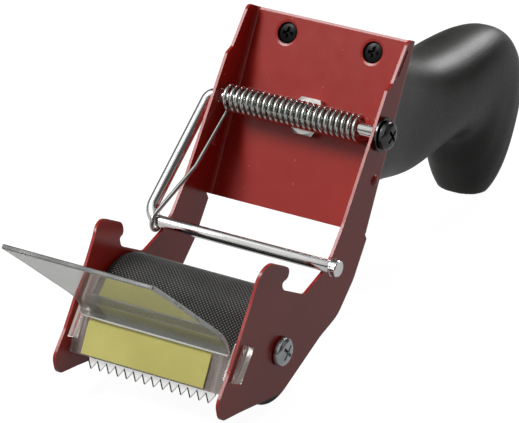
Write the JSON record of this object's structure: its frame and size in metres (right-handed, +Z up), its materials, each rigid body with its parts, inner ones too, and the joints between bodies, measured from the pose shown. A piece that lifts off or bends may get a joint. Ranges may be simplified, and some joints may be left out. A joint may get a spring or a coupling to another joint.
{
  "type": "hand tape dispenser",
  "caption": "Hand-held packing tape dispenser: folded red sheet frame on a black grip, sprung wire bail, knurled rubber roller, serrated blade and clear flap.",
  "frame": {"origin": "middle of the footprint, on the surface that the roller and the grip's pommel stand on", "axes": "+Z up, +Y from the blade towards the grip's pommel, +X to the right as seen from the blade's side with the grip behind"},
  "size_m": [0.073, 0.2636, 0.0933],
  "materials": {
    "red_paint": "semi-gloss baked paint",
    "black_plastic": "satin moulded",
    "brass_insert": "turned",
    "bolt_steel": "bright plated steel",
    "black_screw": "blackened",
    "bright_wire": "bright plated",
    "spring_steel": "drawn wire",
    "dark_screw": "dark plated",
    "black_rubber": "finely knurled",
    "grey_plastic": "moulded",
    "axle_steel": "turned",
    "blade_steel": "bright strip",
    "clear_plastic": "clear",
    "yellow_label": "plain printed film"
  },
  "bodies": {
    "dispenser": {"folded_frame": "red_paint", "handle_grip": "black_plastic", "handle_insert": "brass_insert", "handle_bolt": "bolt_steel", "handle_screw_left": "black_screw", "handle_screw_right": "black_screw", "torsion_spring": "spring_steel", "roller_axle": "axle_steel", "axle_screw_left": "dark_screw", "axle_screw_right": "dark_screw", "blade": "blade_steel", "blade_holder": "clear_plastic", "holder_label": "yellow_label"},
    "bail": {"bail_wire": "bright_wire", "bail_end_cap": "bright_wire", "pivot_screw": "dark_screw", "pivot_washer": "dark_screw", "spring_leg": "spring_steel"},
    "roller": {"roller_sleeve": "black_rubber", "roller_core": "grey_plastic", "roller_bush_left": "grey_plastic", "roller_bush_right": "grey_plastic"},
    "flap": {"wiper_flap": "clear_plastic"}
  },
  "joints": [
    {"name": "bail_swing", "type": "hinge", "parent": "dispenser", "child": "bail", "pos_m": [0.00059, -0.00583, 0.06812], "axis": [-1, 0, 0], "range_deg": [0, 100], "stiffness_Nm_per_rad": 0.05, "springref_deg": -57.3},
    {"name": "roller_spin", "type": "hinge", "parent": "dispenser", "child": "roller", "pos_m": [0.00059, -0.06617, 0.018], "axis": [1, 0, 0], "continuous": true},
    {"name": "flap_flex", "type": "hinge", "parent": "dispenser", "child": "flap", "pos_m": [0.00059, -0.08995, 0.026], "axis": [1, 0, 0], "range_deg": [-45, 50], "stiffness_Nm_per_rad": 0.05, "springref_deg": -1.72}
  ]
}
